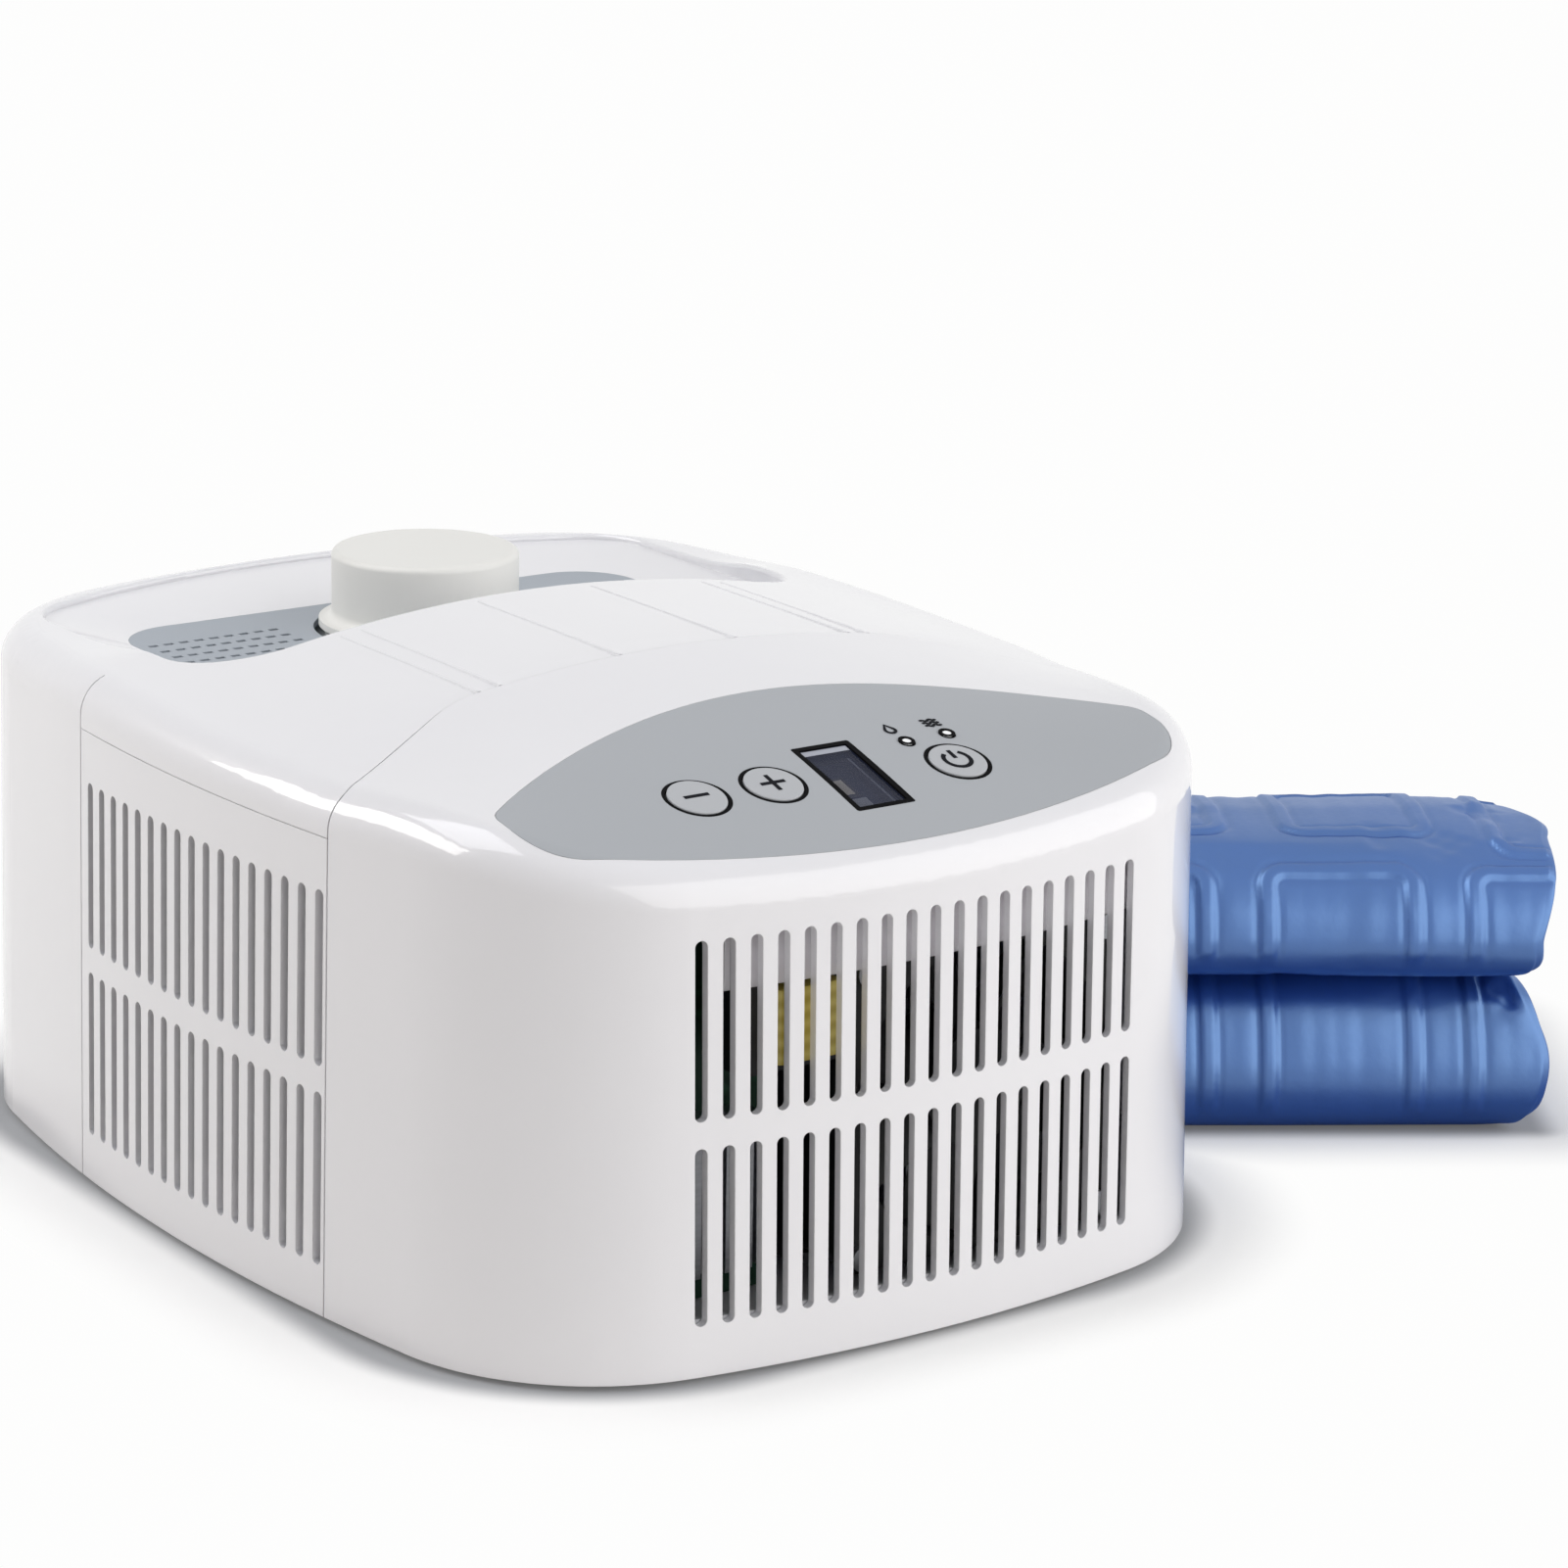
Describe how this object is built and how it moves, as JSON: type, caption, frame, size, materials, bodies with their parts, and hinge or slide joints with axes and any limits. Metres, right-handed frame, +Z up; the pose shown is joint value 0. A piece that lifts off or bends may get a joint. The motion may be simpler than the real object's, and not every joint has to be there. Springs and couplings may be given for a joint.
{
  "type": "water cooling mattress pad",
  "caption": "Bedside water cooler with slotted covers, keys and display, screw filler cap, and its folded blue water pad lying beside it.",
  "frame": {"origin": "middle of the cooling unit's footprint, on the surface it stands on", "axes": "+Z up, front grille and control panel towards -Y, +X to the right seen from the front; the folded pad lies on the +X side"},
  "size_m": [0.4678, 0.3783, 0.1705],
  "materials": {
    "white_shell": "glossy moulded white",
    "base_plastic": "matt moulded light grey",
    "black_rubber": "matt rubber",
    "steel": "plated steel",
    "grey_panel": "satin printed grey",
    "black_plastic": "satin black",
    "display_glass": "smoked window",
    "display_module": "dark display",
    "key_grey": "satin grey",
    "light_lens": "diffusing lens",
    "circuit_board": "solder mask",
    "grey_grille": "satin grey",
    "tank_plastic": "translucent moulding",
    "cap_plastic": "satin warm white",
    "aluminium": "mill finish",
    "clear_hose": "translucent hose",
    "connector_plastic": "satin white",
    "ferrite": "dark core",
    "yellow_tape": "taped winding",
    "capacitor_sleeve": "sleeve",
    "blue_film": "satin blue film"
  },
  "bodies": {
    "unit": {"base_tray": "base_plastic", "board_screws": "steel", "capacitors": "capacitor_sleeve", "control_board": "circuit_board", "control_panel": "grey_panel", "cooling_block": "aluminium", "dish_floor": "grey_grille", "display_bezel": "black_plastic", "display_module": "display_module", "display_window": "display_glass", "fan_frame": "black_plastic", "fan_screws": "steel", "fan_shroud": "black_plastic", "front_cover": "white_shell", "hose_connectors": "connector_plastic", "housing_screws": "steel", "indicator_lights": "light_lens", "indicator_rings": "black_plastic", "key_rings": "black_plastic", "left_grille_panel": "white_shell", "power_board": "circuit_board", "power_inlet": "black_plastic", "pressure_hose": "clear_hose", "pump": "black_plastic", "pump_pad": "black_rubber", "radiator_core": "aluminium", "radiator_tanks": "black_plastic", "return_hose": "clear_hose", "right_grille_panel": "white_shell", "rubber_feet": "black_rubber", "suction_hose": "clear_hose", "supply_hose": "clear_hose", "tact_switches": "black_plastic", "tank_lid": "tank_plastic", "top_cover": "white_shell", "transformer_core": "ferrite", "transformer_winding": "yellow_tape", "water_pad": "blue_film", "water_tank": "tank_plastic"},
    "key_left_body": {"key_left": "key_grey"},
    "key_middle_body": {"key_middle": "key_grey"},
    "key_right_body": {"key_right": "key_grey"},
    "seal_body": {"cap_seal": "black_rubber"},
    "cap_body": {"filler_cap": "cap_plastic"},
    "rotor_body": {"fan_rotor": "black_plastic"}
  },
  "joints": [
    {"name": "key_left_press", "type": "slide", "parent": "unit", "child": "key_left_body", "axis": [0, 0.2949, -0.9555], "range_m": [0, 0.0006], "stiffness_N_per_m": 700, "springref_m": -0.0008},
    {"name": "key_middle_press", "type": "slide", "parent": "unit", "child": "key_middle_body", "axis": [0, 0.2949, -0.9555], "range_m": [0, 0.0006], "stiffness_N_per_m": 700, "springref_m": -0.0008},
    {"name": "key_right_press", "type": "slide", "parent": "unit", "child": "key_right_body", "axis": [0, 0.2949, -0.9555], "range_m": [0, 0.0006], "stiffness_N_per_m": 700, "springref_m": -0.0008},
    {"name": "cap_lift", "type": "slide", "parent": "unit", "child": "seal_body", "axis": [0, 0, 1], "range_m": [0, 0.018]},
    {"name": "cap_turn", "type": "hinge", "parent": "seal_body", "child": "cap_body", "pos_m": [0, 0.0865, 0.16], "axis": [0, 0, 1], "range_deg": [0, 1080]},
    {"name": "fan_spin", "type": "hinge", "parent": "unit", "child": "rotor_body", "pos_m": [0.028, -0.15, 0.062], "axis": [0, 1, 0], "continuous": true}
  ],
  "couplings": [
    {"joint": "cap_lift", "follows": "cap_turn", "m_per_rad": 0.00095493}
  ]
}
